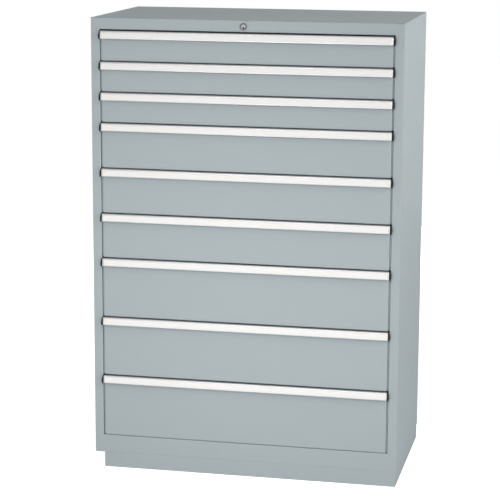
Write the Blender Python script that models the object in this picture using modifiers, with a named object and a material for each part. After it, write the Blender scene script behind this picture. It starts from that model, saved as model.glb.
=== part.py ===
# An industrial drawer cabinet of folded sheet steel: a housing on a low base, nine full-width drawers on
# full-extension runners, an aluminium handle along the top of each drawer, and a central lock.
# The front faces -Y and Z is up. The origin lies on the floor, under the middle of the closed cabinet.
import math

import bmesh
import bpy
from mathutils import Matrix, Vector

# Driving dimensions of the housing, in metres
cabinet_width = 1.022
housing_depth = 0.572
base_height = 0.051
bottom_rail_height = 0.0605
top_rail_height = 0.0375
post_width = 0.030

# The stack of drawers, from the lowest up
shallow_pitch = 0.100
middle_pitch = 0.150
deep_pitch = 0.200
lowest_extra = 0.009
drawer_pitches = [deep_pitch + lowest_extra] + [deep_pitch] * 2 + [middle_pitch] * 3 + [shallow_pitch] * 3
drawer_gap = 0.004
bottom_gap = 0.003
side_gap = 0.005

# Clearances
seat_gap = 0.0003
running_gap = 0.0004
post_clearance = 0.001
overrun = 0.002
weld_distance = 0.00001

# Housing sheet
sheet = 0.0015
bend_radius = 0.0025
bend_steps = 2
post_return = 0.020
rear_return = 0.020
bottom_return = 0.018
top_return = 0.014

# Base under the housing: stepped in at the left, flush at the right
base_sheet = 0.002
base_flange = 0.025
base_left_step = 0.033
base_front_inset = 0.0005
base_edge_inset = 0.002

# Uprights inside the side walls, which carry the rails
upright_width = 0.030
front_upright_place = 0.060
rear_upright_margin = 0.070
upright_slot_width = 0.008
upright_slot_height = 0.016
upright_slot_pitch = 0.050

# Runners: a fixed rail, a carriage inside it and the drawer's own rail inside the carriage
rail_sheet = 0.0015
rail_height = 0.040
rail_depth = 0.012
rail_start = 0.026
rail_stop = 0.005
rear_space = 0.041
drawer_travel = housing_depth - rail_start - rail_stop - rear_space
rail_length = drawer_travel + rail_stop
carriage_depth = 0.013
slide_space = 0.023
rail_lift = 0.004

# Drawer fronts: pans of sheet with a flange all round the back
front_sheet = 0.0015
front_depth = 0.018
front_bend = 0.0025
front_flange = 0.024

# Drawer trays
tray_sheet = 0.0012
tray_tail = 0.015
tray_depth = rail_length + tray_tail
tray_rise = 0.006
tray_drop = 0.022
slot_count = 12
slot_width = 0.003
slot_margin = 0.003
slot_rim = 0.006
slot_end_margin = 0.045

# Handle extrusion, as a section: a leg on the front, a web over its top edge and a sloping face
handle_reach = 0.013
handle_height = 0.025
handle_nose = 0.005
handle_overhang = 0.001
nose_round = 0.0025
lip_round = 0.0016
round_steps = 3
web_thickness = 0.0020
ceiling_thickness = 0.0028
face_thickness = 0.0026
leg_thickness = 0.0018
leg_height = 0.019
hook_depth = 0.010
label_recess = 0.0008
label_shares = (0.12, 0.88)
cap_thickness = 0.0065
cap_proud = 0.001

# Central lock in the top rail
lock_offset = -0.005
lock_drop = 0.020
ring_radius = 0.0120
ring_proud = 0.0015
barrel_radius = 0.0092
barrel_depth = 0.0125
plug_radius = 0.0076
plug_proud = 0.0010
cam_radius = 0.0105
cam_thickness = 0.0025
keyway_width = 0.0022
keyway_length = 0.0060
keyway_depth = 0.0080
pin_radius = 0.0025
pin_length = 0.0080
turned_steps = 24

# Lock bar: an arm behind the top rail and a leg with one tooth for each drawer
bar_thickness = 0.0025
arm_height = 0.018
arm_end_margin = 0.015
leg_width = 0.020
leg_foot_gap = 0.010
lock_travel = 0.010
lock_turn = math.radians(90)
pin_play = 0.0006
tooth_reach = 0.016
tooth_height = 0.006
tooth_margin = 0.003
catch_reach = 0.011
catch_height = 0.007
catch_thickness = 0.0025
catch_margin = 0.0025


def rounded(before, corner, after, radius):
    """The points of an arc that rounds a corner between two straight edges."""
    corner = Vector(corner)
    back = (Vector(before) - corner).normalized()
    ahead = (Vector(after) - corner).normalized()
    half_angle = back.angle(ahead) / 2
    middle = corner + (back + ahead).normalized() * radius / math.sin(half_angle)
    tangent_length = radius / math.tan(half_angle)
    first = corner + back * tangent_length - middle
    last = corner + ahead * tangent_length - middle
    sweep = first.angle_signed(last)
    arc = []
    for step in range(round_steps + 1):
        turned_by = Matrix.Rotation(-sweep * step / round_steps, 2)
        arc.append(tuple(middle + turned_by @ first))
    return arc


def handle_outline(top):
    """The section of the handle in (y, z), with a recess for the label in its sloping face."""
    nose = Vector((-handle_nose, top))
    lip = Vector((-handle_reach, top - handle_height))
    along = (lip - nose).normalized()
    inward = Vector((-along.y, along.x))
    slope = (lip - nose).length
    inner = nose + inward * face_thickness
    fall = -along.y
    ceiling = inner + along * ((inner.y - top + ceiling_thickness) / fall)
    inner_lip = inner + along * ((inner.y - lip.y) / fall)
    leg = -seat_gap - leg_thickness
    back_top = (hook_depth, top)
    outline = [back_top]
    outline += rounded(back_top, nose, lip, nose_round)
    start, end = (nose + along * slope * share for share in label_shares)
    recess = inward * label_recess
    outline += [tuple(start), tuple(start + recess), tuple(end + recess), tuple(end)]
    outline += rounded(nose, lip, inner_lip, lip_round)
    outline += [tuple(inner_lip), tuple(ceiling)]
    outline += [(leg, top - ceiling_thickness), (leg, top - leg_height)]
    web_low = top - web_thickness
    outline += [(-seat_gap, top - leg_height), (-seat_gap, web_low), (hook_depth, web_low)]
    return outline


def cap_outline(top):
    """The section of an end cap: the handle's own outline closed behind, and a little proud of it."""
    back = -seat_gap - leg_thickness / 2
    high = top + cap_proud / 2
    low = top - handle_height - cap_proud / 2
    head = (back, high)
    nose = (-handle_nose - cap_proud, high)
    lip = (-handle_reach - cap_proud, low)
    foot = (back, low)
    outline = [head] + rounded(head, nose, lip, nose_round + cap_proud)
    return outline + rounded(nose, lip, foot, lip_round + cap_proud) + [foot]


# Places that follow from the sizes
stack_bottom = base_height + bottom_rail_height + bottom_gap
top_rail_bottom = stack_bottom + sum(drawer_pitches)
total_height = top_rail_bottom + top_rail_height
bottom_rail_top = base_height + bottom_rail_height
reach = -min(y for y, _z in handle_outline(0) + cap_outline(0))
front_y = reach - (housing_depth + reach) / 2
back_y = front_y + housing_depth
half_width = cabinet_width / 2
open_half = half_width - post_width
front_half = open_half - side_gap
handle_half = front_half + handle_overhang
tray_half = open_half - slide_space
wall_inner = half_width - sheet
back_panel_y = back_y - sheet - seat_gap
carriage_x = open_half - post_clearance
fixed_rail_x = carriage_x + running_gap + rail_sheet
carriage_height = rail_height - 2 * (rail_sheet + running_gap)
drawer_rail_height = carriage_height - 2 * (rail_sheet + running_gap)
drawer_rail_x = carriage_x - rail_sheet - running_gap
rail_rise = tray_rise + rail_lift
tray_front = front_depth + seat_gap
lock_z = total_height - lock_drop
bar_y = front_y + post_return + running_gap


def clear_scene():
    """Empties the scene of whatever it opened with."""
    for thing in list(bpy.data.objects):
        bpy.data.objects.remove(thing, do_unlink=True)


def new_collection(name, hidden):
    """A collection in the scene; a hidden one holds cutters and pieces that others are made from."""
    group = bpy.data.collections.new(name)
    bpy.context.scene.collection.children.link(group)
    group.hide_render = hidden
    return group


def new_material(name, color, roughness, metallic):
    """A plain Principled material."""
    material = bpy.data.materials.new(name)
    material.use_nodes = True
    shader = material.node_tree.nodes["Principled BSDF"]
    shader.inputs["Base Color"].default_value = (*color, 1.0)
    shader.inputs["Roughness"].default_value = roughness
    shader.inputs["Metallic"].default_value = metallic
    return material


def add_piece(name, mesh, material, parent=None):
    """Puts a mesh into the cabinet as a named piece."""
    piece = bpy.data.objects.new(name, mesh)
    cabinet.objects.link(piece)
    mesh.materials.append(material)
    piece.parent = parent
    return piece


def add_tool(name, mesh, parent=None):
    """Puts a mesh among the cutters: it is never shown as a piece."""
    tool = bpy.data.objects.new(name, mesh)
    cutters.objects.link(tool)
    tool.hide_render = True
    tool.display_type = "WIRE"
    tool.parent = parent
    return tool


def combine(piece, tool, operation):
    """Joins a tool to a piece, or cuts it out of the piece."""
    modifier = piece.modifiers.new(tool.name, "BOOLEAN")
    modifier.operation = operation
    modifier.solver = "EXACT"
    modifier.object = tool


def add_box(shape, low, high):
    """Adds a box between two corners to a bmesh."""
    size = Vector(high) - Vector(low)
    middle = (Vector(high) + Vector(low)) / 2
    bmesh.ops.create_cube(shape, size=1, matrix=Matrix.Translation(middle) @ Matrix.Diagonal((*size, 1)))


def box_mesh(name, corners):
    """A mesh of one or more boxes, each given by two corners."""
    shape = bmesh.new()
    for low, high in corners:
        add_box(shape, low, high)
    mesh = bpy.data.meshes.new(name)
    shape.to_mesh(mesh)
    shape.free()
    return mesh


def rod_mesh(name, radius, start, end, steps):
    """A round rod along Y, on the axis through the origin of its object."""
    shape = bmesh.new()
    turned = Matrix.Rotation(math.radians(90), 4, "X")
    matrix = Matrix.Translation((0, (start + end) / 2, 0)) @ turned
    bmesh.ops.create_cone(
        shape, cap_ends=True, segments=steps, radius1=radius, radius2=radius, depth=end - start, matrix=matrix
    )
    mesh = bpy.data.meshes.new(name)
    shape.to_mesh(mesh)
    shape.free()
    return mesh


def strip_mesh(name, strips, axis):
    """Open strips of sheet, each a path of outer faces carried along an axis from start to end.

    A path is in the plane across the axis: (y, z) for X, (x, z) for Y and (x, y) for Z. The metal
    lies on the left of the path, seen from +X, from the front or from above."""
    spreads = {
        "X": lambda u, v, w: (w, u, v),
        "Y": lambda u, v, w: (u, w, v),
        "Z": lambda u, v, w: (u, v, w),
    }
    spread = spreads[axis]
    shape = bmesh.new()
    for path, start, end in strips:
        rows = [[shape.verts.new(spread(u, v, w)) for w in (start, end)] for u, v in path]
        for (near, far), (next_near, next_far) in zip(rows, rows[1:]):
            face = (near, next_near, next_far, far)
            shape.faces.new(reversed(face) if axis == "Y" else face)
    mesh = bpy.data.meshes.new(name)
    shape.to_mesh(mesh)
    shape.free()
    return mesh


def thicken(piece, thickness, radius=0):
    """Turns an open surface into folded sheet: rounded bends first, then the thickness, inwards."""
    if radius:
        bend = piece.modifiers.new("bends", "BEVEL")
        bend.limit_method = "ANGLE"
        bend.width = radius
        bend.segments = bend_steps
    wall = piece.modifiers.new("sheet", "SOLIDIFY")
    wall.thickness = thickness
    wall.offset = -1
    wall.use_even_offset = True


def mirrored(path, side):
    """A path drawn for the right side, as it runs on the given side (1 right, -1 left)."""
    return list(path) if side > 0 else [(-u, v) for u, v in reversed(path)]


def sided_box(side, low, high):
    """Corners of a box drawn for the right side, on the given side."""
    if side > 0:
        return low, high
    return (-high[0], low[1], low[2]), (-low[0], high[1], high[2])


def outline_mesh(name, outline, start, end):
    """A closed outline in (y, z), carried along X from start to end."""
    curve = bpy.data.curves.new(name, "CURVE")
    curve.dimensions = "2D"
    curve.fill_mode = "BOTH"
    curve.extrude = (end - start) / 2
    spline = curve.splines.new("POLY")
    spline.points.add(len(outline[1:]))
    for point, (u, v) in zip(spline.points, outline):
        point.co = (u, v, 0, 1)
    spline.use_cyclic_u = True
    drawn = bpy.data.objects.new(name, curve)
    cutters.objects.link(drawn)
    bpy.context.view_layer.update()
    mesh = bpy.data.meshes.new_from_object(drawn.evaluated_get(bpy.context.evaluated_depsgraph_get()))
    bpy.data.objects.remove(drawn)
    turned = Matrix(((0, 0, 1, (start + end) / 2), (1, 0, 0, 0), (0, 1, 0, 0), (0, 0, 0, 1)))
    mesh.transform(turned)
    shape = bmesh.new()
    shape.from_mesh(mesh)
    bmesh.ops.remove_doubles(shape, verts=shape.verts, dist=weld_distance)
    bmesh.ops.dissolve_limit(shape, angle_limit=math.radians(1), verts=shape.verts, edges=shape.edges)
    bmesh.ops.recalc_face_normals(shape, faces=shape.faces)
    shape.to_mesh(mesh)
    shape.free()
    return mesh


def turned_mesh(name, profile, closed):
    """The profile of a turned piece: radius along +X, and length along Z."""
    shape = bmesh.new()
    points = [shape.verts.new((radius, 0, height)) for radius, height in profile]
    for first, second in zip(points, points[1:]):
        shape.edges.new((first, second))
    if closed:
        shape.edges.new((points[-1], points[0]))
    mesh = bpy.data.meshes.new(name)
    shape.to_mesh(mesh)
    shape.free()
    return mesh


def turn(piece):
    """Turns a profile round its axis, and points that axis out of the front."""
    piece.rotation_euler = (math.radians(90), 0, 0)
    screw = piece.modifiers.new("turned", "SCREW")
    screw.steps = turned_steps
    screw.render_steps = turned_steps
    screw.use_merge_vertices = True
    screw.merge_threshold = weld_distance
    screw.use_smooth_shade = True


def empty_at(name, location):
    """An empty that carries the pieces which move together."""
    holder = bpy.data.objects.new(name, None)
    holder.location = location
    cabinet.objects.link(holder)
    return holder


def drawer_bottoms():
    """The number of each drawer, counted from the top, with the height and pitch of its front."""
    bottom = stack_bottom
    drawers = []
    for number, pitch in zip(range(len(drawer_pitches), 0, -1), drawer_pitches):
        drawers.append((number, bottom, pitch - drawer_gap))
        bottom += pitch
    return drawers


def upright_places():
    """The front edges of the two uprights in a side wall."""
    return front_y + front_upright_place, back_y - rear_upright_margin - upright_width


def make_runner_frame(side):
    """Two slotted uprights that stand against a side wall, joined by the fixed rails of the runners."""
    low = bottom_rail_top + seat_gap
    high = top_rail_bottom
    web_x = fixed_rail_x - rail_sheet / 2
    tip_x = wall_inner - seat_gap
    strips = []
    slots = []
    for near in upright_places():
        far = near + upright_width
        strips.append((mirrored([(tip_x, far), (web_x, far), (web_x, near), (tip_x, near)], side), low, high))
        middle = (near + far) / 2
        slot_z = low + upright_slot_pitch / 2
        while slot_z + upright_slot_height < high:
            corner = (web_x - overrun, middle - upright_slot_width / 2, slot_z)
            across = (web_x + sheet + overrun, middle + upright_slot_width / 2, slot_z + upright_slot_height)
            slots.append(sided_box(side, corner, across))
            slot_z += upright_slot_pitch
    name = "runner_frame_right" if side > 0 else "runner_frame_left"
    frame = add_piece(name, strip_mesh(name, strips, "Z"), zinc)
    thicken(frame, sheet)
    combine(frame, add_tool(name + "_slots", box_mesh(name + "_slots", slots)), "DIFFERENCE")
    combine(frame, make_fixed_rails(side), "UNION")


def make_fixed_rails(side):
    """The housing's half of the runners: channels that open towards the drawers."""
    strips = []
    for _number, bottom, _height in drawer_bottoms():
        low = bottom + rail_rise
        high = low + rail_height
        tip = fixed_rail_x - rail_depth
        path = [(tip, low), (fixed_rail_x, low), (fixed_rail_x, high), (tip, high)]
        strips.append((mirrored(path, side), front_y + rail_start, front_y + rail_start + rail_length))
    name = "fixed_rails_right" if side > 0 else "fixed_rails_left"
    rails = add_tool(name, strip_mesh(name, strips, "Y"))
    thicken(rails, rail_sheet)
    return rails


def make_side_wall(side):
    """A side wall, folded round into the front post and turned in at the back."""
    path = [
        (open_half, front_y + post_return),
        (open_half, front_y),
        (half_width, front_y),
        (half_width, back_y),
        (half_width - rear_return, back_y),
    ]
    name = "side_wall_right" if side > 0 else "side_wall_left"
    top = total_height - sheet - seat_gap
    wall = add_piece(name, strip_mesh(name, [(mirrored(path, side), base_height, top)], "Z"), paint)
    thicken(wall, sheet, bend_radius)


def make_top_panel():
    """The top, whose front edge is folded down into the top rail between the posts."""
    path = [
        (back_y, total_height),
        (front_y, total_height),
        (front_y, top_rail_bottom),
        (front_y + top_return, top_rail_bottom),
    ]
    panel = add_piece("top_panel", strip_mesh("top_panel", [(path, -half_width, half_width)], "X"), paint)
    thicken(panel, sheet, bend_radius)
    inner = open_half - seat_gap
    under = total_height - sheet
    corners = [
        sided_box(
            side,
            (inner, front_y - overrun, top_rail_bottom - overrun),
            (half_width + overrun, front_y + top_return + overrun, under),
        )
        for side in (-1, 1)
    ]
    combine(panel, add_tool("top_corners", box_mesh("top_corners", corners)), "DIFFERENCE")
    hole_radius = barrel_radius + seat_gap
    hole = add_tool("lock_hole", rod_mesh("lock_hole", hole_radius, -overrun, sheet + overrun, turned_steps))
    hole.location = (lock_offset, front_y, lock_z)
    combine(panel, hole, "DIFFERENCE")


def make_bottom_panel():
    """The floor of the housing, folded down into the bottom rail and round onto the base."""
    rear = back_panel_y - sheet - seat_gap
    path = [
        (rear - bottom_return, base_height),
        (rear, base_height),
        (rear, bottom_rail_top),
        (front_y, bottom_rail_top),
        (front_y, base_height),
        (front_y + bottom_return, base_height),
    ]
    side_end = wall_inner - seat_gap
    panel = add_piece("bottom_panel", strip_mesh("bottom_panel", [(path, -side_end, side_end)], "X"), paint)
    thicken(panel, sheet, bend_radius)
    inner = open_half - seat_gap
    low = base_height - overrun
    high = bottom_rail_top + overrun
    post_back = front_y + post_return + seat_gap
    # A tab of the floor stays inside each post, behind its front and beside its return.
    notches = {
        "under_tab": (half_width, post_back, bottom_rail_top - 2 * sheet),
        "post_front": (half_width, front_y + max(bend_radius, sheet) + seat_gap, high),
        "post_return": (open_half + sheet + seat_gap, post_back, high),
    }
    for word, far_corner in notches.items():
        boxes = [sided_box(side, (inner, front_y - overrun, low), far_corner) for side in (-1, 1)]
        name = f"bottom_{word}_notches"
        combine(panel, add_tool(name, box_mesh(name, boxes)), "DIFFERENCE")


def make_back_panel():
    """The sheet that closes the housing at the back, inside the returns of the side walls."""
    side_end = half_width - max(bend_radius, sheet) - seat_gap
    low = (-side_end, back_panel_y - sheet, base_height)
    high = (side_end, back_panel_y, total_height - sheet - seat_gap)
    add_piece("back_panel", box_mesh("back_panel", [(low, high)]), paint)


def make_base():
    """The base: a channel frame that turns in at the top and the bottom."""
    left = -half_width + base_left_step
    right = half_width - base_edge_inset
    near = front_y + base_front_inset
    far = back_y - base_edge_inset
    top = base_height - seat_gap
    base = add_piece("base", box_mesh("base", [((left, near, 0), (right, far, top))]), paint)
    inside = (
        (left + base_sheet, near + base_sheet, base_sheet),
        (right - base_sheet, far - base_sheet, top - base_sheet),
    )
    combine(base, add_tool("base_inside", box_mesh("base_inside", [inside])), "DIFFERENCE")
    window = (
        (left + base_flange, near + base_flange, -overrun),
        (right - base_flange, far - base_flange, top + overrun),
    )
    combine(base, add_tool("base_window", box_mesh("base_window", [window])), "DIFFERENCE")


def make_drawer_front(number, height, holder):
    """The painted front: a pan under the handle's web, whose rear flanges lie on the tray."""
    name = f"drawer_{number}_front"
    top = height - web_thickness - seat_gap
    mesh = box_mesh(name, [((-front_half, 0, 0), (front_half, front_depth, top))])
    shape = bmesh.new()
    shape.from_mesh(mesh)
    back = [face for face in shape.faces if face.normal.y > math.cos(math.radians(45))]
    bmesh.ops.inset_region(shape, faces=back, thickness=front_flange)
    bmesh.ops.delete(shape, geom=back, context="FACES_ONLY")
    shape.to_mesh(mesh)
    shape.free()
    thicken(add_piece(name, mesh, paint, holder), front_sheet, front_bend)


def make_tray(number, height, holder):
    """The tray: a folded box with slots for dividers, its rails, and a catch for the lock bar."""
    name = f"drawer_{number}_tray"
    low = (-tray_half, tray_front, tray_rise)
    high = (tray_half, tray_front + tray_depth, height - tray_drop)
    mesh = box_mesh(name, [(low, high)])
    shape = bmesh.new()
    shape.from_mesh(mesh)
    top = [face for face in shape.faces if face.normal.z > math.cos(math.radians(45))]
    bmesh.ops.delete(shape, geom=top, context="FACES_ONLY")
    shape.to_mesh(mesh)
    shape.free()
    tray = add_piece(name, mesh, paint, holder)
    thicken(tray, tray_sheet)

    rail_low = rail_rise + 2 * (rail_sheet + running_gap)
    rail_high = rail_low + drawer_rail_height
    web_x = tray_half - tray_sheet / 2
    path = [(drawer_rail_x, rail_high), (web_x, rail_high), (web_x, rail_low), (drawer_rail_x, rail_low)]
    strips = [(mirrored(path, side), rail_start, rail_start + rail_length) for side in (-1, 1)]
    rails = add_tool(name + "_rails", strip_mesh(name + "_rails", strips, "Y"), holder)
    thicken(rails, rail_sheet)
    combine(tray, rails, "UNION")

    catch_low = rail_rise + rail_height + tooth_margin + tooth_height + catch_margin
    catch_near = post_return + running_gap + bar_thickness + running_gap
    catch = (
        (web_x, catch_near, catch_low),
        (tray_half + catch_reach, catch_near + catch_thickness, catch_low + catch_height),
    )
    combine(tray, add_tool(name + "_catch", box_mesh(name + "_catch", [catch]), holder), "UNION")

    slots_low = rail_rise + rail_height + slot_margin
    slots_high = height - tray_drop - slot_rim
    first = tray_front + slot_end_margin
    pitch = (tray_depth - 2 * slot_end_margin) / (slot_count - 1)
    slots = []
    for index in range(slot_count):
        middle = first + index * pitch
        slot_low = (-tray_half - overrun, middle - slot_width / 2, slots_low)
        slot_high = (tray_half + overrun, middle + slot_width / 2, slots_high)
        slots.append((slot_low, slot_high))
    combine(tray, add_tool(name + "_slots", box_mesh(name + "_slots", slots), holder), "DIFFERENCE")


def make_handle(number, height, holder):
    """The aluminium handle along the top of a front, closed by a cap at each end."""
    name = f"drawer_{number}_handle"
    mesh = outline_mesh(name, handle_outline(height), -handle_half, handle_half)
    handle = add_piece(name, mesh, aluminium, holder)
    for side, word in ((-1, "left"), (1, "right")):
        ends = sorted((side * (handle_half - overrun), side * (handle_half + cap_thickness)))
        cap_name = f"{name}_cap_{word}"
        cap = add_tool(cap_name, outline_mesh(cap_name, cap_outline(height), *ends), holder)
        combine(handle, cap, "UNION")


def make_carriages(number, bottom):
    """The middle members of a drawer's runners, which travel half as far as the drawer."""
    low = rail_sheet + running_gap
    holder = empty_at(f"carriage_{number}", (0, front_y, bottom + rail_rise))
    tip = carriage_x - carriage_depth
    path = [(tip, low), (carriage_x, low), (carriage_x, low + carriage_height), (tip, low + carriage_height)]
    for side, word in ((-1, "left"), (1, "right")):
        name = f"carriage_{number}_{word}"
        strip = (mirrored(path, side), rail_start, rail_start + rail_length)
        thicken(add_piece(name, strip_mesh(name, [strip], "Y"), zinc, holder), rail_sheet)


def make_drawer(number, bottom, height):
    """One drawer with its front, tray, handle and carriages."""
    holder = empty_at(f"drawer_{number}", (0, front_y, bottom))
    make_drawer_front(number, height, holder)
    make_tray(number, height, holder)
    make_handle(number, height, holder)
    make_carriages(number, bottom)


def make_lock():
    """The lock: a ring with its barrel in the top rail, and the plug that turns in it."""
    holder = empty_at("lock", (lock_offset, front_y, lock_z))
    bore = plug_radius + seat_gap
    ring_back = seat_gap
    profile = [
        (ring_radius, ring_proud),
        (ring_radius, ring_back),
        (barrel_radius, ring_back),
        (barrel_radius, -barrel_depth),
        (bore, -barrel_depth),
        (bore, ring_proud),
    ]
    ring = add_piece("lock_barrel", turned_mesh("lock_barrel", profile, True), lock_steel, holder)
    turn(ring)

    cam_front = -barrel_depth - running_gap
    cam_back = cam_front - cam_thickness
    profile = [
        (0, plug_proud),
        (plug_radius, plug_proud),
        (plug_radius, cam_front),
        (cam_radius, cam_front),
        (cam_radius, cam_back),
        (0, cam_back),
    ]
    plug = add_piece("lock_plug", turned_mesh("lock_plug", profile, False), lock_steel, holder)
    turn(plug)
    pin_arm = lock_travel / (2 * math.sin(lock_turn / 2))
    pin_mesh = rod_mesh("cam_pin", pin_radius, -cam_back - cam_thickness / 2, pin_end(), turned_steps)
    pin = add_tool("cam_pin", pin_mesh)
    pin.location = (lock_offset + pin_arm * math.cos(lock_turn / 2), front_y, lock_z - lock_travel / 2)
    combine(plug, pin, "UNION")
    keyway = (
        (-keyway_width / 2, -plug_proud - overrun, -keyway_length),
        (keyway_width / 2, keyway_depth, 0),
    )
    combine(plug, add_tool("keyway", box_mesh("keyway", [keyway]), holder), "DIFFERENCE")


def pin_end():
    """How far behind the front the cam's pin ends: through the lock bar."""
    return barrel_depth + running_gap + cam_thickness + pin_length


def make_lock_bar():
    """The bar that the lock lifts: an arm behind the top rail, and a leg that bars the drawers."""
    arm_z = lock_z - lock_travel / 2
    pin_arm = lock_travel / (2 * math.sin(lock_turn / 2))
    pin_swing = pin_arm * (1 - math.cos(lock_turn / 2))
    pin_x = lock_offset + pin_arm * math.cos(lock_turn / 2)
    arm_low = arm_z - arm_height / 2
    arm_high = arm_z + arm_height / 2
    leg_right = wall_inner - running_gap
    leg_left = leg_right - leg_width
    leg_low = bottom_rail_top + leg_foot_gap
    far = bar_y + bar_thickness
    arm = ((lock_offset - arm_end_margin, bar_y, arm_low), (leg_right, far, arm_high))
    bar = add_piece("lock_bar", box_mesh("lock_bar", [arm]), zinc)
    leg = ((leg_left, bar_y, leg_low), (leg_right, far, arm_high - sheet))
    combine(bar, add_tool("lock_leg", box_mesh("lock_leg", [leg])), "UNION")
    teeth = []
    for _number, bottom, _height in drawer_bottoms():
        tooth_low = bottom + rail_rise + rail_height + tooth_margin
        tooth_high = tooth_low + tooth_height
        teeth.append(((leg_left - tooth_reach, bar_y, tooth_low), (leg_left + overrun, far, tooth_high)))
    combine(bar, add_tool("lock_teeth", box_mesh("lock_teeth", teeth)), "UNION")
    slot_half = pin_radius + pin_play
    slot = (
        (pin_x - slot_half, bar_y - overrun, arm_z - slot_half),
        (pin_x + slot_half + pin_swing, far + overrun, arm_z + slot_half),
    )
    combine(bar, add_tool("cam_slot", box_mesh("cam_slot", [slot])), "DIFFERENCE")


clear_scene()
cabinet = new_collection("industrial_drawer_cabinet", False)
cutters = new_collection("cutters", True)
paint = new_material("painted_steel", (0.397, 0.445, 0.462), 0.45, 0.0)
zinc = new_material("zinc_plated_steel", (0.50, 0.51, 0.52), 0.40, 1.0)
aluminium = new_material("anodised_aluminium", (0.88, 0.87, 0.86), 0.35, 1.0)
lock_steel = new_material("lock_steel", (0.42, 0.44, 0.45), 0.35, 1.0)

make_base()
make_bottom_panel()
make_side_wall(-1)
make_side_wall(1)
make_runner_frame(-1)
make_runner_frame(1)
make_back_panel()
make_top_panel()
for drawer_number, drawer_bottom, front_height in drawer_bottoms():
    make_drawer(drawer_number, drawer_bottom, front_height)
make_lock()
make_lock_bar()
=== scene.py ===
# %% [markdown]
# # Dressing an industrial drawer cabinet
#
# The cabinet is folded sheet steel under a light blue-grey powder coat: a housing on a low base, nine
# full-width drawers, and along the top of each drawer an aluminium handle that holds a white label
# strip. The solid model already has every sheet, rail and joint in place. This script gives it finishes,
# models the small parts that the eye goes to, and lights it as in a plain studio picture.

# %% Load the solid model
import math

import bmesh
import bpy
from mathutils import Matrix, Vector


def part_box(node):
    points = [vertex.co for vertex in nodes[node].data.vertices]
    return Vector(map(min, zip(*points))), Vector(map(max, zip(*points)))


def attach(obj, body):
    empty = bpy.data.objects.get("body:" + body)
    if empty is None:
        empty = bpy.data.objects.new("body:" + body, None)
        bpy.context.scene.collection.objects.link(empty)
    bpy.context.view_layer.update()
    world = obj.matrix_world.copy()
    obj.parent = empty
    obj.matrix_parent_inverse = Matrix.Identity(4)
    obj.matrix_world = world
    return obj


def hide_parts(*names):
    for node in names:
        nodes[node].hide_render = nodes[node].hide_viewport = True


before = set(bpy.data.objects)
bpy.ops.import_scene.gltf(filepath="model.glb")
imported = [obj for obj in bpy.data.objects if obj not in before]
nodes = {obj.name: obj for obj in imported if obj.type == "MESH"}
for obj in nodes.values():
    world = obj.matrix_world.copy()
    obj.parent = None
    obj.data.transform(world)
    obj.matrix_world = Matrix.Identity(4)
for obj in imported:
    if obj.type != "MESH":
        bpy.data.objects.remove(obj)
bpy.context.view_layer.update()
drawer_numbers = range(1, 10)


def in_mm(length):
    """A length in metres, as millimetres for printing."""
    return round(1000 * length, 4)


# %% [markdown]
# ## Colours
#
# Colours are easiest to name as they look on a screen, from 0 to 255. Shaders work with light, so each
# one is converted to linear values by the standard screen curve. It could be typed in linear at once,
# but then nobody could read it.


# %% A colour as the eye names it
def colour(red, green, blue):
    """Linear RGBA from screen values of 0 to 255."""
    shares = [value / 255 for value in (red, green, blue)]
    return (*(s / 12.92 if s <= 0.04045 else ((s + 0.055) / 1.055) ** 2.4 for s in shares), 1.0)


pure_white = colour(255, 255, 255)
paint_colour = colour(173, 183, 186)
print("paint, linear:", [round(value, 3) for value in paint_colour[:3]])

# %% [markdown]
# ## Building blocks for the finishes
#
# Every finish here is a Principled shader fed by a few noises in the piece's own metres, so a 2 mm ripple
# is 2 mm on every piece, and it stays put when a drawer slides. A few short helpers keep the node trees
# readable: one starts a finish, and the others add a noise, widen its range, blend two colours, shade a
# colour, and turn a noise into relief.

# %% Node helpers
noise_low, noise_high = 0.3, 0.7
# A Mix node has several sockets of each name, so its colour sockets are found by number.
mix_first, mix_second, mix_result = 6, 7, 2


def new_finish(name):
    """A material with its tree, its shader and the point on the piece, in metres."""
    material = bpy.data.materials.new(name)
    material.use_nodes = True
    tree = material.node_tree
    point = tree.nodes.new("ShaderNodeTexCoord").outputs["Object"]
    return material, tree, tree.nodes["Principled BSDF"], point


def noise(tree, point, size, detail=2, stretch=(1, 1, 1)):
    """Noise whose features are about size metres across, drawn out along an axis by stretch."""
    mapping = tree.nodes.new("ShaderNodeMapping")
    mapping.inputs["Scale"].default_value = [1 / (size * along) for along in stretch]
    texture = tree.nodes.new("ShaderNodeTexNoise")
    texture.inputs["Scale"].default_value = 1
    texture.inputs["Detail"].default_value = detail
    tree.links.new(point, mapping.inputs["Vector"])
    tree.links.new(mapping.outputs["Vector"], texture.inputs["Vector"])
    return texture.outputs["Fac"]


def spread(tree, value, low, high):
    """Stretches the middle of a noise to the range from low to high."""
    ranged = tree.nodes.new("ShaderNodeMapRange")
    ranged.inputs["From Min"].default_value = noise_low
    ranged.inputs["From Max"].default_value = noise_high
    ranged.inputs["To Min"].default_value = low
    ranged.inputs["To Max"].default_value = high
    tree.links.new(value, ranged.inputs["Value"])
    return ranged.outputs["Result"]


def blended(tree, share, first, second, blend="MIX"):
    """A mix of two colours. The share and the colours may be plain values or sockets."""
    mix = tree.nodes.new("ShaderNodeMix")
    mix.data_type = "RGBA"
    mix.blend_type = blend
    wanted = {"Factor": share, mix_first: first, mix_second: second}
    for key, value in wanted.items():
        if isinstance(value, bpy.types.NodeSocket):
            tree.links.new(value, mix.inputs[key])
        else:
            mix.inputs[key].default_value = value
    return mix.outputs[mix_result]


def shaded(base, amount):
    """A colour made lighter or darker by a share."""
    return (*(channel * (1 + amount) for channel in base[:3]), 1.0)


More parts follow.
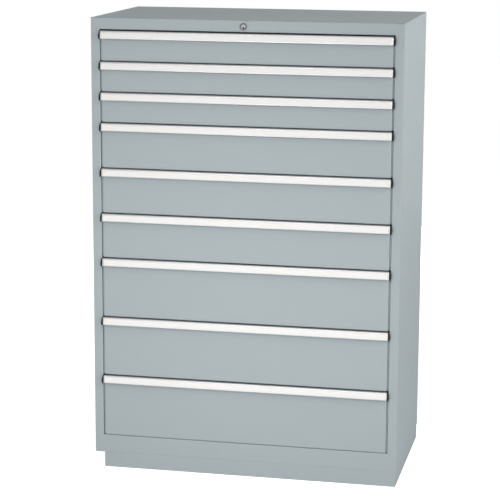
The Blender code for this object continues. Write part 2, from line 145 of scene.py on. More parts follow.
def relief(tree, shader, height, depth, below=None):
    """Adds a bump of the given depth in metres, on top of the bump below it."""
    bump = tree.nodes.new("ShaderNodeBump")
    bump.inputs["Distance"].default_value = depth
    tree.links.new(height, bump.inputs["Height"])
    if below is not None:
        tree.links.new(below, bump.inputs["Normal"])
    tree.links.new(bump.outputs["Normal"], shader.inputs["Normal"])
    return bump.outputs["Normal"]


print("a noise is used between", noise_low, "and", noise_high)

# %% [markdown]
# ## Powder coat
#
# The coat is baked powder: satin, with the soft ripple called orange peel, a faint fine grain, and a tone
# that drifts a little over a large panel. A flat colour would look like plastic. Two noises in the bump
# give ripple and grain, a slow one moves the tone, a fine one speckles it, and one more moves the sheen,
# each by a few per cent.

# %% Powder coat
ripple_size, ripple_depth = 0.0026, 0.00003
grain_size, grain_depth = 0.0006, 0.000006
drift_size, drift_amount = 0.35, 0.02
speck_size, speck_amount, speck_share = 0.0012, 0.025, 0.5
sheen_size, sheen_amount = 0.06, 0.025
coat_roughness, coat_gloss = 0.55, 0.1


def powder_coat(name, base):
    """Satin powder coat in a base colour."""
    material, tree, shader, point = new_finish(name)
    slow = noise(tree, point, drift_size)
    drift = blended(tree, slow, shaded(base, -drift_amount), shaded(base, drift_amount))
    specks = spread(tree, noise(tree, point, speck_size, detail=1), 0, 1)
    speckle = blended(tree, specks, shaded(pure_white, -speck_amount), shaded(pure_white, speck_amount))
    coat = blended(tree, speck_share, drift, speckle, blend="MULTIPLY")
    tree.links.new(coat, shader.inputs["Base Color"])
    satin = noise(tree, point, sheen_size, detail=3)
    sheen = spread(tree, satin, coat_roughness - sheen_amount, coat_roughness + sheen_amount)
    tree.links.new(sheen, shader.inputs["Roughness"])
    shader.inputs["Specular IOR Level"].default_value = coat_gloss
    ripples = relief(tree, shader, noise(tree, point, ripple_size), ripple_depth)
    relief(tree, shader, noise(tree, point, grain_size, detail=1), grain_depth, below=ripples)
    return material


paint = powder_coat("powder_coat", paint_colour)
print("powder coat: ripple", in_mm(ripple_size), "mm, grain", in_mm(grain_size), "mm")

# %% [markdown]
# ## Zinc plating
#
# Runners, uprights and the lock bar are zinc plated: bright but milky, with a slight drift between blue
# and yellow, and fine lines along the direction in which the strip was rolled. The lines are a noise
# drawn out a hundredfold along the part.

# %% Zinc plate
bluish_zinc, yellowish_zinc, bloom_size = colour(186, 193, 201), colour(205, 203, 192), 0.03
line_size, line_depth, line_stretch = 0.0005, 0.000008, 100
zinc_roughness = (0.30, 0.46)


def zinc_plate(name, stretch):
    """Zinc plate on strip that was rolled along the axis with the largest stretch."""
    material, tree, shader, point = new_finish(name)
    bloom = blended(tree, noise(tree, point, bloom_size, detail=4), bluish_zinc, yellowish_zinc)
    tree.links.new(bloom, shader.inputs["Base Color"])
    shader.inputs["Metallic"].default_value = 1.0
    lines = noise(tree, point, line_size, detail=3, stretch=stretch)
    tree.links.new(spread(tree, lines, *zinc_roughness), shader.inputs["Roughness"])
    relief(tree, shader, lines, line_depth)
    return material


zinc_along_y = zinc_plate("zinc_rolled_front_to_back", (1, line_stretch, 1))
zinc_upright = zinc_plate("zinc_rolled_upright", (1, 1, line_stretch))
print("zinc plate: lines", in_mm(line_size), "by", in_mm(line_size * line_stretch), "mm")

# %% [markdown]
# ## Anodised aluminium
#
# The handle is an aluminium extrusion, etched and anodised to a silky grey-white, with faint die lines
# along its length. They are one noise, drawn out along the bar, that feeds both the roughness and the
# bump, so that a line which stands up also shines differently.

# %% Aluminium
die_line_size, die_line_depth, die_line_stretch = 0.0004, 0.000006, 300
aluminium_tone_size = 0.15
aluminium_roughness = (0.36, 0.48)
aluminium, tree, shader, point = new_finish("anodised_aluminium")
die_lines = noise(tree, point, die_line_size, detail=3, stretch=(die_line_stretch, 1, 1))
etch = noise(tree, point, aluminium_tone_size)
tone = blended(tree, etch, colour(178, 179, 180), colour(188, 188, 187))
tree.links.new(tone, shader.inputs["Base Color"])
tree.links.new(spread(tree, die_lines, *aluminium_roughness), shader.inputs["Roughness"])
shader.inputs["Metallic"].default_value = 1.0
relief(tree, shader, die_lines, die_line_depth)
print("aluminium: die lines", in_mm(die_line_size), "mm wide")

# %% [markdown]
# ## Label card
#
# A white card lies in the recess of each handle, under a clear cover. A loose sheet of glass over it
# would only shade it, so the cover isn't modelled, and the card is matt with a trace of gloss. Fibres
# drawn out along the strip vary its white, and a shallow bump lets it lie a little unevenly.

# %% Card
fibre_size, fibre_stretch = 0.0008, 6
wave_size, wave_depth = 0.02, 0.00003
card_roughness, card_gloss = 0.6, 0.2
card, tree, shader, point = new_finish("label_card")
fibres = noise(tree, point, fibre_size, detail=3, stretch=(fibre_stretch, 1, 1))
paper_white = blended(tree, fibres, colour(242, 240, 237), colour(247, 245, 242))
tree.links.new(paper_white, shader.inputs["Base Color"])
shader.inputs["Roughness"].default_value = card_roughness
shader.inputs["Specular IOR Level"].default_value = card_gloss
relief(tree, shader, noise(tree, point, wave_size), wave_depth)
print("card: fibres", in_mm(fibre_size), "mm wide")

# %% [markdown]
# ## Black plastic
#
# The end caps are moulded plastic, and the mould was spark-eroded, which leaves a fine even grain. The
# same noise tints the black and bumps it. A slower one varies how much it shines.

# %% Plastic
spark_size, spark_depth = 0.0005, 0.00002
plastic_sheen_size, plastic_gloss = 0.01, 0.25
plastic_roughness = (0.40, 0.52)
# The same black also lines the keyway of the lock further down, where it is painted shade.
black_plastic_and_keyway_shade, tree, shader, point = new_finish("black_plastic_and_keyway_shade")
sparks = noise(tree, point, spark_size)
black = blended(tree, sparks, colour(20, 18, 17), colour(30, 27, 26))
tree.links.new(black, shader.inputs["Base Color"])
patches = noise(tree, point, plastic_sheen_size)
tree.links.new(spread(tree, patches, *plastic_roughness), shader.inputs["Roughness"])
shader.inputs["Specular IOR Level"].default_value = plastic_gloss
relief(tree, shader, sparks, spark_depth)
print("black plastic: grain", in_mm(spark_size), "mm")

# %% [markdown]
# ## Turned metal for the lock
#
# The lock's ring is dark satin nickel and its plug is brighter. Both were turned on a lathe, which leaves
# rings as fine as a gramophone's. The distance from the axis, fed to a one-dimensional noise, draws them.

# %% Turned metal
ring_pitch, turning_depth = 0.00025, 0.00001
nickel_tone_size, turning_sheen = 0.004, 0.06
across_axis = (1, 0, 1)


def turned_metal(name, first, second, roughness):
    """A metal turned about the Y axis through the piece's own origin."""
    material, tree, shader, point = new_finish(name)
    flat = tree.nodes.new("ShaderNodeVectorMath")
    flat.operation = "MULTIPLY"
    flat.inputs[1].default_value = across_axis
    radius = tree.nodes.new("ShaderNodeVectorMath")
    radius.operation = "LENGTH"
    rings = tree.nodes.new("ShaderNodeTexNoise")
    rings.noise_dimensions = "1D"
    rings.inputs["Scale"].default_value = 1 / ring_pitch
    tree.links.new(point, flat.inputs[0])
    tree.links.new(flat.outputs["Vector"], radius.inputs[0])
    tree.links.new(radius.outputs["Value"], rings.inputs["W"])
    tone = blended(tree, noise(tree, point, nickel_tone_size), first, second)
    tree.links.new(tone, shader.inputs["Base Color"])
    sheen = spread(tree, rings.outputs["Fac"], roughness - turning_sheen, roughness + turning_sheen)
    tree.links.new(sheen, shader.inputs["Roughness"])
    shader.inputs["Metallic"].default_value = 1.0
    relief(tree, shader, rings.outputs["Fac"], turning_depth)
    return material


dark_nickel = turned_metal("dark_nickel", colour(88, 95, 98), colour(100, 106, 109), roughness=0.42)
bright_nickel = turned_metal("bright_nickel", colour(146, 149, 150), colour(158, 160, 160), roughness=0.52)
print("turned metals:", dark_nickel.name, "and", bright_nickel.name)

# %% [markdown]
# ## The camera
#
# The picture was taken with a long lens, from a little to the right of the cabinet and from above it, so
# the right side and a thin band of the top show. The camera's place, turn, tilt and lens were found from
# the corners of the cabinet. A small lens shift centres it. A large shift with a level camera would
# keep the uprights quite parallel, but it would push the cabinet out of the views from other sides.

# %% Camera
camera_place = (1.232, -5.9535, 1.929)
turn, tilt, roll = math.radians(12.06), math.radians(79.07), math.radians(0.28)
camera = bpy.data.objects.new("camera", bpy.data.cameras.new("camera"))
bpy.context.scene.collection.objects.link(camera)
aimed = Matrix.Rotation(turn, 4, "Z") @ Matrix.Rotation(tilt, 4, "X") @ Matrix.Rotation(roll, 4, "Z")
camera.matrix_world = Matrix.Translation(camera_place) @ aimed
camera.data.sensor_width = 36
camera.data.lens = 131.1
camera.data.shift_y = -0.024
camera.data.clip_end = 60
bpy.context.scene.camera = camera
bpy.context.scene.view_settings.view_transform = "Standard"
distance = Vector(camera_place).length
print("camera is", round(distance, 2), "m from the origin, lens", round(camera.data.lens, 1), "mm")

# %% [markdown]
# ## Sky
#
# A studio cove is white all round, so the light comes from everywhere and shadows are soft. The sky
# lights the cabinet at a moderate level, and shows as plain white to the camera, in reflections and
# through glass. A Light Path node tells these rays apart, and the larger of its answers picks the level.

# %% Sky
sky_strength, shown_strength = 0.31, 1.0
world = bpy.data.worlds.new("studio")
bpy.context.scene.world = world
world.use_nodes = True
tree = world.node_tree


def larger(tree, first, second):
    """The larger of two values."""
    maximum = tree.nodes.new("ShaderNodeMath")
    maximum.operation = "MAXIMUM"
    tree.links.new(first, maximum.inputs[0])
    tree.links.new(second, maximum.inputs[1])
    return maximum.outputs["Value"]


rays = tree.nodes.new("ShaderNodeLightPath").outputs
seen = larger(tree, rays["Is Camera Ray"], rays["Is Glossy Ray"])
seen = larger(tree, seen, rays["Is Transmission Ray"])
level = tree.nodes.new("ShaderNodeMapRange")
level.inputs["To Min"].default_value = sky_strength
level.inputs["To Max"].default_value = shown_strength
tree.links.new(seen, level.inputs["Value"])
background = tree.nodes["Background"]
background.inputs["Color"].default_value = pure_white
tree.links.new(level.outputs["Result"], background.inputs["Strength"])
print("sky: lights at", sky_strength, "and shows at", shown_strength)

# %% [markdown]
# ## Floor
#
# The floor is pale matt paper. To the camera it also glows, which brings it up to the white of the sky
# while it keeps the cabinet's shadow. More light on the floor would do that too, but it would wash out
# the cabinet. The paper lies a hair below the base, so that the two don't flicker where they touch.

# %% Floor
floor_size, floor_drop, floor_glow = 30, 0.0005, 0.76
paper_tone_size, paper_roughness = 1.5, 0.9
shape = bmesh.new()
bmesh.ops.create_grid(shape, x_segments=1, y_segments=1, size=floor_size / 2)
floor_mesh = bpy.data.meshes.new("floor")
shape.to_mesh(floor_mesh)
shape.free()
floor = bpy.data.objects.new("floor", floor_mesh)
bpy.context.scene.collection.objects.link(floor)
floor.location.z = -floor_drop
paper, tree, shader, point = new_finish("studio_floor")
clouds = blended(tree, noise(tree, point, paper_tone_size), colour(228, 228, 228), colour(232, 232, 232))
tree.links.new(clouds, shader.inputs["Base Color"])
shader.inputs["Roughness"].default_value = paper_roughness
shader.inputs["Specular IOR Level"].default_value = 0.0
shader.inputs["Emission Color"].default_value = pure_white
glow = tree.nodes.new("ShaderNodeMath")
glow.operation = "MULTIPLY"
glow.inputs[1].default_value = floor_glow
tree.links.new(tree.nodes.new("ShaderNodeLightPath").outputs["Is Camera Ray"], glow.inputs[0])
tree.links.new(glow.outputs["Value"], shader.inputs["Emission Strength"])
floor_mesh.materials.append(paper)
print("floor:", floor_size, "m wide, glow", floor_glow)

# %% [markdown]
# ## Lamps
#
# Five soft lamps do the modelling. The key hangs in front, a little above the top. A wide one at the
# floor stands for the light that a white floor throws up at the lower drawers. One at the right draws
# the side wall, and one at the left and one behind keep the other walls from going dark. The last two
# hang lower than the top, so they leave it unlit.


# %% Lamps
def add_lamp(name, place, target, width, watts):
    """A square soft lamp that the camera doesn't see."""
    lamp = bpy.data.objects.new(name, bpy.data.lights.new(name, "AREA"))
    lamp.data.shape = "SQUARE"
    lamp.data.size = width
    lamp.data.energy = watts
    lamp.location = place
    lamp.rotation_euler = (Vector(target) - Vector(place)).to_track_quat("-Z", "Y").to_euler()
    lamp.visible_camera = False
    bpy.context.scene.collection.objects.link(lamp)


add_lamp("key_lamp", place=(-0.25, -2.2, 1.72), target=(0, -0.28, 1.0), width=0.9, watts=11.9)
add_lamp("floor_bounce", place=(0, -1.5, 0.03), target=(0, -0.28, 0.4), width=1.8, watts=16.4)
add_lamp("right_lamp", place=(4.6, -1.2, 2.9), target=(0.5, 0, 1.0), width=1.8, watts=109)
add_lamp("left_lamp", place=(-4.6, 0.7, 0.8), target=(-0.5, 0, 0.8), width=1.4, watts=70)
add_lamp("back_lamp", place=(0.2, 4.4, 0.8), target=(0, 0.3, 0.8), width=1.4, watts=70)

# %% [markdown]
# ## Paint and plate on the sheet metal
#
# Many solids of the model already have their right shape, so they only need their finish: the housing,
# the trays, the runners and the lock bar. Walls, panels, base and trays are painted. The rest is plated,
# with the rolling lines along each strip. The fronts, handles and lock are dressed further down.


# %% Finishes on the solids
def put_on(node, material):
    """Gives a solid one finish."""
    nodes[node].data.materials.clear()
    nodes[node].data.materials.append(material)


sides = ("left", "right")
painted = ["base", "bottom_panel", "side_wall_left", "side_wall_right", "back_panel", "top_panel"]
painted += [f"drawer_{number}_tray" for number in drawer_numbers]
carriages = [f"carriage_{number}_{side}" for number in drawer_numbers for side in sides]
upright = ["runner_frame_left", "runner_frame_right", "lock_bar"]
for finish, wearers in ((paint, painted), (zinc_along_y, carriages), (zinc_upright, upright)):
    for node in wearers:
        put_on(node, finish)
print("painted solids:", len(painted), " plated solids:", len(carriages) + len(upright))

# %% [markdown]
# ## Meshes for the small parts
#
# The handles and the lock want finer edges than a solid for collision needs. A handle is one outline
# carried along a line, so one helper rounds the corners of an outline and another carries it. A lock part
# is one profile turned about an axis. All are built in bmesh, which keeps every face where it is meant
# to be. Edges that turn gently are shaded smooth, and the others stay crisp.

# %% Outline and turning helpers
crisp_angle, lathe_crisp_angle = 35, 9
lathe_steps = 72


def filleted(outline, radii, steps=5):
    """Rounds the corners of a closed outline, each by its own radius (0 keeps it sharp)."""
    points = []
    for index, radius in enumerate(radii):
        corner = Vector(outline[index])
        if not radius:
            points.append(corner)
            continue
        back = (Vector(outline[index - 1]) - corner).normalized()
        ahead = (Vector(outline[(index + 1) % len(outline)]) - corner).normalized()
        half = back.angle(ahead) / 2
        centre = corner + (back + ahead).normalized() * radius / math.sin(half)
        first = corner + back * radius / math.tan(half) - centre
        last = corner + ahead * radius / math.tan(half) - centre
        sweep = first.angle_signed(last)
        for step in range(steps + 1):
            points.append(centre + Matrix.Rotation(-sweep * step / steps, 2) @ first)
    return points


def mesh_from(name, shape, material, crisp_from=crisp_angle):
    """Finishes a bmesh: faces outwards, and edges crisp only where they turn by more than an angle."""
    bmesh.ops.recalc_face_normals(shape, faces=shape.faces)
    mesh = bpy.data.meshes.new(name)
    shape.to_mesh(mesh)
    shape.free()
    mesh.materials.append(material)
    mesh.shade_smooth()
    mesh.set_sharp_from_angle(angle=math.radians(crisp_from))
    return mesh


def bridge(shape, near, far):
    """Joins two rings of corners by a band of faces."""
    for index in range(len(near)):
        after = (index + 1) % len(near)
        shape.faces.new((near[index], near[after], far[after], far[index]))


def carried(name, outline, spans, material, axis="X"):
    """A closed outline carried over each span from start to end: (y, z) along X, or (x, z) along Y."""
    shape = bmesh.new()
    for span in spans:
        rings = []
        for along in span:
            corners = [(along, u, v) if axis == "X" else (u, along, v) for u, v in outline]
            rings.append([shape.verts.new(corner) for corner in corners])
        for ring in rings:
            shape.faces.new(ring)
        bridge(shape, *rings)
    return mesh_from(name, shape, material)


def lathed(name, profile, material):
    """A profile of (radius, distance in front) turned about the Y axis. A radius of 0 gives one corner."""
    shape = bmesh.new()
    rings = []
    for radius, ahead in profile:
        turns = [2 * math.pi * step / lathe_steps for step in range(lathe_steps)] if radius else [0]
        corners = [(radius * math.cos(angle), -ahead, radius * math.sin(angle)) for angle in turns]
        rings.append([shape.verts.new(corner) for corner in corners])
    for near, far in zip(rings, rings[1:]):
        for step in range(lathe_steps):
            after = (step + 1) % lathe_steps
            corners = [near[step % len(near)], near[after % len(near)]]
            corners += [far[after % len(far)], far[step % len(far)]]
            # Beside the axis two of the four corners are the same one, and the face is a triangle.
            shape.faces.new(list(dict.fromkeys(corners)))
    return mesh_from(name, shape, material, lathe_crisp_angle)


def add_piece(name, mesh, place, body, stands_for=()):
    """Puts a mesh into the scene, tells it which body it moves with, and hides the solids that it stands
    for.
    """
    piece = bpy.data.objects.new(name, mesh)
    bpy.context.scene.collection.objects.link(piece)
    piece.location = place
    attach(piece, body)
    if stands_for:
        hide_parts(*stands_for)
    return piece


print("edges turn crisp above", crisp_angle, "degrees, and on lathed parts above", lathe_crisp_angle)

# %% [markdown]
# ## The drawer fronts
#
# Each front is a shallow pan of 1.5 mm sheet, bent round all four edges with a soft radius, and turned in
# again behind. The radius draws the pale line along the lower edge. An open box is bevelled and then
# thickened by modifiers, in the order in which a press would work. The box reaches a little lower than
# the solid does, because the gap below a front looks that narrow.

# %% Bent fronts
front_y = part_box("side_wall_left")[0].y
sheet, pan_bend, pan_flange = 0.0015, 0.0035, 0.024
bend_segments, pan_crisp_angle = 5, 30
lower_edge = 0.0018


def pan_mesh(number, half, depth, height):
    """An open box: the front face, four sides and a flange all round the back."""
    shape = bmesh.new()
    bmesh.ops.create_cube(shape, size=1)
    for vertex in shape.verts:
        x, y, z = vertex.co
        vertex.co = (half if x > 0 else -half, depth if y > 0 else 0, height if z > 0 else -lower_edge)
    back = [face for face in shape.faces if all(vertex.co.y > 0 for vertex in face.verts)]
    bmesh.ops.inset_region(shape, faces=back, thickness=pan_flange)
    bmesh.ops.delete(shape, geom=back, context="FACES_ONLY")
    return mesh_from(f"front_{number}_pan", shape, paint, pan_crisp_angle)


for number in drawer_numbers:
    node = f"drawer_{number}_front"
    low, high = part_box(node)
    mesh = pan_mesh(number, high.x, high.y - low.y, high.z - low.z)
    pan = add_piece(f"front_{number}_pan", mesh, (0, low.y, low.z), f"drawer_{number}", [node])
    bend = pan.modifiers.new("bends", "BEVEL")
    bend.width = pan_bend
    bend.segments = bend_segments
    bend.harden_normals = True
    thicken = pan.modifiers.new("sheet", "SOLIDIFY")
    thicken.thickness = sheet
    thicken.offset = -1
    thicken.use_even_offset = True
print("bent fronts:", len(drawer_numbers), " bend", in_mm(pan_bend), "mm")

# %% [markdown]
# ## Edge strips beside the fronts
#
# The gap between a front and its post isn't black, as a deep gap is, but grey: something painted lies a
# few millimetres back in it. Here it is two painted strips behind the side edges of each front, which
# ride on the drawer. What is really there can't be seen in the picture.

# %% Edge strips
strip_reach, strip_depth, strip_sheet = 0.0035, 0.006, 0.0012
strip_round = strip_sheet / 3
strip_back = strip_depth + strip_sheet
for number in drawer_numbers:
    low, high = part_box(f"drawer_{number}_front")
    height = high.z - low.z
    outline = [(strip_depth, 0), (strip_back, 0), (strip_back, height), (strip_depth, height)]
    rounded = filleted(outline, [strip_round] * len(outline), steps=2)
    spans = [(-high.x - strip_reach, -high.x + sheet), (high.x - sheet, high.x + strip_reach)]
    mesh = carried(f"front_{number}_edges", rounded, spans, paint)
    add_piece(f"front_{number}_edges", mesh, (0, low.y, low.z), f"drawer_{number}")
print("edge strips stand out", in_mm(strip_reach), "mm at each side")

# %% [markdown]
# ## The handles
#
# A real handle is one length of extrusion: a hook over the top edge of the front, a leg down its face,
# and a sloping band that overhangs the fingers. The band has a recess between two lips, undercut so that
# the card slides in under them. The section is drawn once and used nine times, because all the handles
# are the same. Its origin is on the front plane, at the height of the band's upper edge.

# %% Handle section
cap_thickness, cap_proud = 0.0065, 0.001
bar_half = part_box("drawer_1_handle")[1].x - cap_thickness
reach, drop, nose_y = 0.0124, 0.0268, 0.0085
nose_round, lip_round = 0.005, 0.0016
hook, wall, web, ceiling, leg_drop = 0.010, 0.0026, 0.0020, 0.0028, 0.019
leg_back, leg_face = -0.0003, -0.0021
hook_round, inner_round, foot_round, back_round = 0.0005, 0.0004, 0.0006, 0.0003
recess, lip_over_card, undercut = 0.0008, 0.0003, 0.0009
card_top, card_foot = 0.19, 0.88
nose = Vector((-nose_y, 0))
lip = Vector((-reach, -drop))
slope = (lip - nose).length
down_band = (lip - nose).normalized()
into_band = Vector((-down_band.y, down_band.x))


def on_band(share, depth):
    """A point at a share of the way down the sloping band, and at a depth into it."""
    return tuple(nose + down_band * slope * share + into_band * depth)


def behind_band(height):
    """A point at a height on the inner face of the band."""
    start = nose + into_band * wall
    return tuple(start + down_band * ((start.y - height) / -down_band.y))


groove_top, groove_foot = card_top - undercut / slope, card_foot + undercut / slope
section = [
    ((hook, 0), hook_round),
    (tuple(nose), nose_round),
    (on_band(card_top, 0), 0),
    (on_band(card_top, lip_over_card), 0),
    (on_band(groove_top, lip_over_card), 0),
    (on_band(groove_top, recess), 0),
    (on_band(groove_foot, recess), 0),
    (on_band(groove_foot, lip_over_card), 0),
    (on_band(card_foot, lip_over_card), 0),
    (on_band(card_foot, 0), 0),
    (tuple(lip), lip_round),
    (behind_band(-drop), inner_round),
    (behind_band(-ceiling), inner_round),
    ((leg_face, -ceiling), inner_round),
    ((leg_face, -leg_drop), foot_round),
    ((leg_back, -leg_drop), back_round),
    ((leg_back, -web), back_round),
    ((hook, -web), hook_round),
]
corners, radii = zip(*section)
bar_mesh = carried("handle_bar", filleted(corners, radii), [(-bar_half, bar_half)], aluminium)
print("band", in_mm(slope), "mm along its slope,", len(section), "corners in the section")

# %% [markdown]
# ## The label strip
#
# The card is a thin strip on the floor of the recess, a little shorter than the bar, with its two front
# edges just broken. It is a piece of its own, because a white face of the bar would have no thickness
# and no edge to catch the light.

# %% Label strip
card_play, card_face, card_round, card_margin = 0.0004, 0.0004, 0.0002, 0.005
card_half = bar_half - card_margin
strip_top, strip_foot = card_top + card_play, card_foot - card_play
card_outline = [(strip_top, recess), (strip_foot, recess), (strip_foot, card_face), (strip_top, card_face)]
card_corners = [on_band(share, depth) for share, depth in card_outline]
card_points = filleted(card_corners, [0, 0, card_round, card_round], steps=2)
card_mesh = carried("handle_card", card_points, [(-card_half, card_half)], card)
print("label strip", in_mm(2 * card_half), "mm long")

# %% [markdown]
# ## End caps
#
# A cap is a short push-in moulding, a little proud of the section, which hides the sawn end and fills
# the gap to the post. Its outer face bulges: it is widest somewhat below the middle and falls back
# towards both ends. So it is built from level slices, each a little narrower or wider than the last. A
# small bevel on the front edge gives the soft bright line that moulded parts have.

# %% Cap
cap_back = (leg_back + leg_face) / 2
cap_high, cap_low = cap_proud / 2, -drop - cap_proud / 2
cap_steps = 6
cap_outline = [
    (cap_back, cap_high),
    (-nose_y - cap_proud, cap_high),
    (-reach - cap_proud, cap_low),
    (cap_back, cap_low),
]
cap_radii = [0, nose_round + cap_proud, lip_round + cap_proud, 0]
cap_front = filleted(cap_outline, cap_radii, cap_steps)[1:-1]
widest, lean_above, lean_below = 0.35, 0.0035, 0.0018
cap_bevel, bevel_share, cap_crisp_angle = 0.0006, 0.3, 30


def lean_at(z):
    """How far the outer face of a cap falls back at a height."""
    height = (z - cap_low) / (cap_high - cap_low)
    if height > widest:
        return lean_above * ((height - widest) / (1 - widest)) ** 2
    return lean_below * ((widest - height) / widest) ** 2


def cap(name, side):
    """The cap of one end, lofted through level slices that follow its front from the top down."""
    nose_arc, lip_arc = cap_front[: cap_steps + 1], cap_front[cap_steps + 1 :]
    between = [nose_arc[-1].lerp(lip_arc[0], step / cap_steps) for step in range(1, cap_steps)]
    shape = bmesh.new()
    rings = []
    for y, z in [*nose_arc, *between, *lip_arc]:
        inner, outer = -side * cap_thickness / 2, side * (cap_thickness / 2 - lean_at(z))
        soft = side * cap_bevel
        slice_outline = [
            (inner, cap_back),
            (inner, y),
            (outer - soft, y),
            (outer - soft * bevel_share, y + cap_bevel * bevel_share),
            (outer, y + cap_bevel),
            (outer, cap_back),
        ]
        rings.append([shape.verts.new((x, ahead, z)) for x, ahead in slice_outline])
    for near, far in zip(rings, rings[1:]):
        bridge(shape, near, far)
    shape.faces.new(rings[0])
    shape.faces.new(rings[-1])
    return mesh_from(name, shape, black_plastic_and_keyway_shade, cap_crisp_angle)


cap_meshes = {"left": cap("handle_cap_left", -1), "right": cap("handle_cap_right", 1)}
print("cap:", in_mm(cap_thickness), "mm thick,", len(cap_meshes["right"].polygons), "faces")

# %% [markdown]
# ## Handles in place
#
# The same four meshes serve every drawer: bar, card and two caps. Each rides on its drawer, and the bar
# stands for the handle's solid. Sharing a mesh keeps the file small, and a change reaches all nine.

# %% Handles in place
for number in drawer_numbers:
    node, body = f"drawer_{number}_handle", f"drawer_{number}"
    place = Vector((0, front_y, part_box(node)[1].z - cap_proud / 2))
    add_piece(f"handle_{number}_bar", bar_mesh, place, body, [node])
    add_piece(f"handle_{number}_card", card_mesh, place, body)
    for side, word in zip((-1, 1), sides):
        cap_place = place + Vector((side * (bar_half + cap_thickness / 2), 0, 0))
        add_piece(f"handle_{number}_cap_{word}", cap_meshes[word], cap_place, body)
print("handles:", len(drawer_numbers))

# %% [markdown]
# ## Welded corners
#
# Where the rails meet the posts, the housing is welded and ground flush before it is coated, so no joint
# shows there. Each such joint is closed by a slip of painted metal that lies in the groove between the
# two sheets, level with them but for a few hundredths of a millimetre.

# %% Ground welds
post_width, seam_gap, housing_bend = 0.030, 0.0003, 0.0025
weld_proud, weld_depth = 0.00003, 0.0012
post_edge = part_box("side_wall_right")[1].x - post_width
top_low, top_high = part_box("top_panel")
floor_low, floor_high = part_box("bottom_panel")
weld_heights = {
    "top": (top_low.z + housing_bend, top_high.z - housing_bend),
    "bottom": (floor_low.z, floor_high.z - housing_bend),
}
inner_end, outer_end = 2 * seam_gap, housing_bend + seam_gap
for word, (low, high) in weld_heights.items():
    flush = [(-weld_proud, low), (-weld_proud, high), (weld_depth, high), (weld_depth, low)]
    slip = carried(f"weld_{word}", flush, [(-inner_end, outer_end)], paint)
    add_piece(f"weld_{word}_right", slip, Vector((post_edge, front_y, 0)), "housing")
    slip = carried(f"weld_{word}_mirrored", flush, [(-outer_end, inner_end)], paint)
    add_piece(f"weld_{word}_left", slip, Vector((-post_edge, front_y, 0)), "housing")
print("welded corners:", 2 * len(weld_heights))

# %% [markdown]
# ## The seam over the base
#
# The housing and its base only touch along a sealed seam, which shows as a faint line. Its slip lies
# deeper than the welds and slants back on its way down, so that it shades softly.

# %% Base seam
seam_face, seam_floor, seam_foot, seam_back, seam_slant = 0.0001, 0.0007, 0.00045, 0.003, 0.0018
base_low, base_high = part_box("base")
seam_low, seam_high = base_high.z - seam_gap, floor_low.z + housing_bend
seam = [
    (seam_face, seam_high),
    (seam_floor, seam_high - seam_slant),
    (seam_floor, base_high.z),
    (seam_foot, seam_low),
    (seam_back, seam_low),
    (seam_back, seam_high),
]
slip = carried("base_seam", seam, [(base_low.x + seam_gap, base_high.x - seam_gap)], paint)
add_piece("base_seam", slip, Vector((0, front_y, 0)), "housing")
print("seam over the base:", in_mm(base_high.x - base_low.x), "mm long")

# %% [markdown]
# ## The lock's ring
#
# A cam lock shows a dark ring on the rail. The ring is a profile turned about the lock's axis, with a
# rounded rim outside and a soft step down to the plug inside. A plain cylinder would show one hard
# circle of light. Behind it a sleeve stands for the barrel inside the housing.

# %% Ring and sleeve
ring_low, ring_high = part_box("lock_barrel")
lock_place = ((ring_low.x + ring_high.x) / 2, front_y, (ring_low.z + ring_high.z) / 2)
ring_radius = (ring_high.x - ring_low.x) / 2
ring_face, barrel_back = front_y - ring_low.y, front_y - ring_high.y
plug_radius, barrel_radius, play = 0.0076, 0.0092, 0.0003
# Each rim point is a distance across, from the plug or from the ring's edge, and a distance down.
inner_rim = [(0.0003, 0.0007), (0.0007, 0.0003), (0.0014, 0.0001), (0.0020, 0)]
outer_rim = [(0.0010, 0), (0.0004, 0.0002), (0, 0.0007)]
bore = plug_radius + play
ring_foot = (bore, 0.0002)
ring_profile = [ring_foot]
ring_profile += [(plug_radius + across, ring_face - down) for across, down in inner_rim]
ring_profile += [(ring_radius - across, ring_face - down) for across, down in outer_rim]
ring_profile += [(ring_radius, play), ring_foot]
ring_mesh = lathed("lock_ring", ring_profile, dark_nickel)
add_piece("lock_ring", ring_mesh, lock_place, "housing", ["lock_barrel"])
sleeve_profile = [(barrel_radius, play), (barrel_radius, barrel_back)]
sleeve_profile += [(bore, barrel_back), (bore, play / 2), (barrel_radius, play)]
sleeve_mesh = lathed("lock_sleeve", sleeve_profile, dark_nickel)
add_piece("lock_sleeve", sleeve_mesh, lock_place, "housing")
print("lock ring:", in_mm(2 * ring_radius), "mm across")

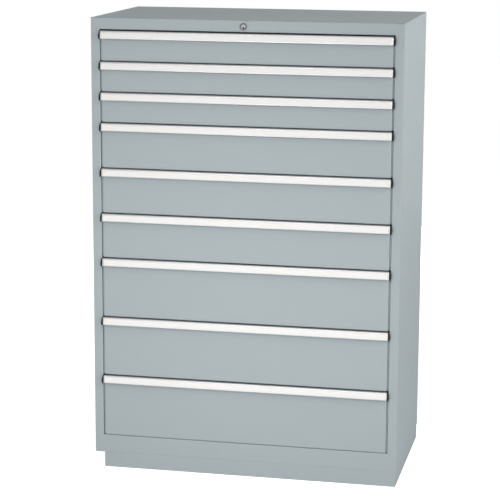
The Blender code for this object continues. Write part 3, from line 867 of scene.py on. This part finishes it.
# %% [markdown]
# ## The plug
#
# The plug is brighter than the ring and turns with the key. Its profile runs from the cam at the back,
# along the plug, and round a broken edge to the face. It rides on the plug's own body, so the keyway
# turns when the lock does.

# %% Plug
plug_face = front_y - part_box("lock_plug")[0].y
cam_radius, cam_play, cam_reach = 0.0105, 0.0004, 0.0029
cam_front, cam_back = barrel_back - cam_play, barrel_back - cam_reach
plug_rim = [(0, 0.0004), (0.0002, 0.0001), (0.0006, 0)]
plug_profile = [(0, cam_back), (cam_radius, cam_back), (cam_radius, cam_front), (plug_radius, cam_front)]
plug_profile += [(plug_radius - across, plug_face - down) for across, down in plug_rim]
plug_profile += [(0, plug_face)]
plug_mesh = lathed("lock_plug_face", plug_profile, bright_nickel)
plug = add_piece("lock_plug_face", plug_mesh, lock_place, "lock_plug", ["lock_plug"])
print("plug:", in_mm(2 * plug_radius), "mm across")

# %% [markdown]
# ## The keyway
#
# The keyway is a slot in the lower half of the plug, wider at its foot. A Boolean cuts it, as a broach
# would. The cutter wears the black finish of the caps and the modifier transfers materials, so the
# walls of the slot come out black: painted shade, standing for the dark inside so deep a slot. The
# result is kept as a plain mesh.

# %% Keyway
key_top, key_foot, key_narrow, key_wide = -0.0004, -0.0066, 0.0011, 0.0021
key_span, key_rounds = (-0.003, 0.008), [0.0006, 0.0006, 0.0004, 0.0004]
keyway = [(-key_narrow, key_top), (key_narrow, key_top), (key_wide, key_foot), (-key_wide, key_foot)]
keyway_points = filleted(keyway, key_rounds, steps=3)
# The cutter's black finish becomes the slot walls: painted shade, not the plug's own metal.
cutter_mesh = carried("keyway_cutter", keyway_points, [key_span], black_plastic_and_keyway_shade, axis="Y")
cutter = bpy.data.objects.new("keyway_cutter", cutter_mesh)
bpy.context.scene.collection.objects.link(cutter)
cutter.location = lock_place
cut = plug.modifiers.new("keyway", "BOOLEAN")
cut.object = cutter
cut.operation = "DIFFERENCE"
cut.solver = "EXACT"
cut.material_mode = "TRANSFER"
bpy.context.view_layer.update()
plug_cut = plug.evaluated_get(bpy.context.evaluated_depsgraph_get())
cut_mesh = bpy.data.meshes.new_from_object(plug_cut)
plug.modifiers.clear()
plug.data = cut_mesh
bpy.data.objects.remove(cutter)
print("plug faces after the keyway:", len(plug.data.polygons))
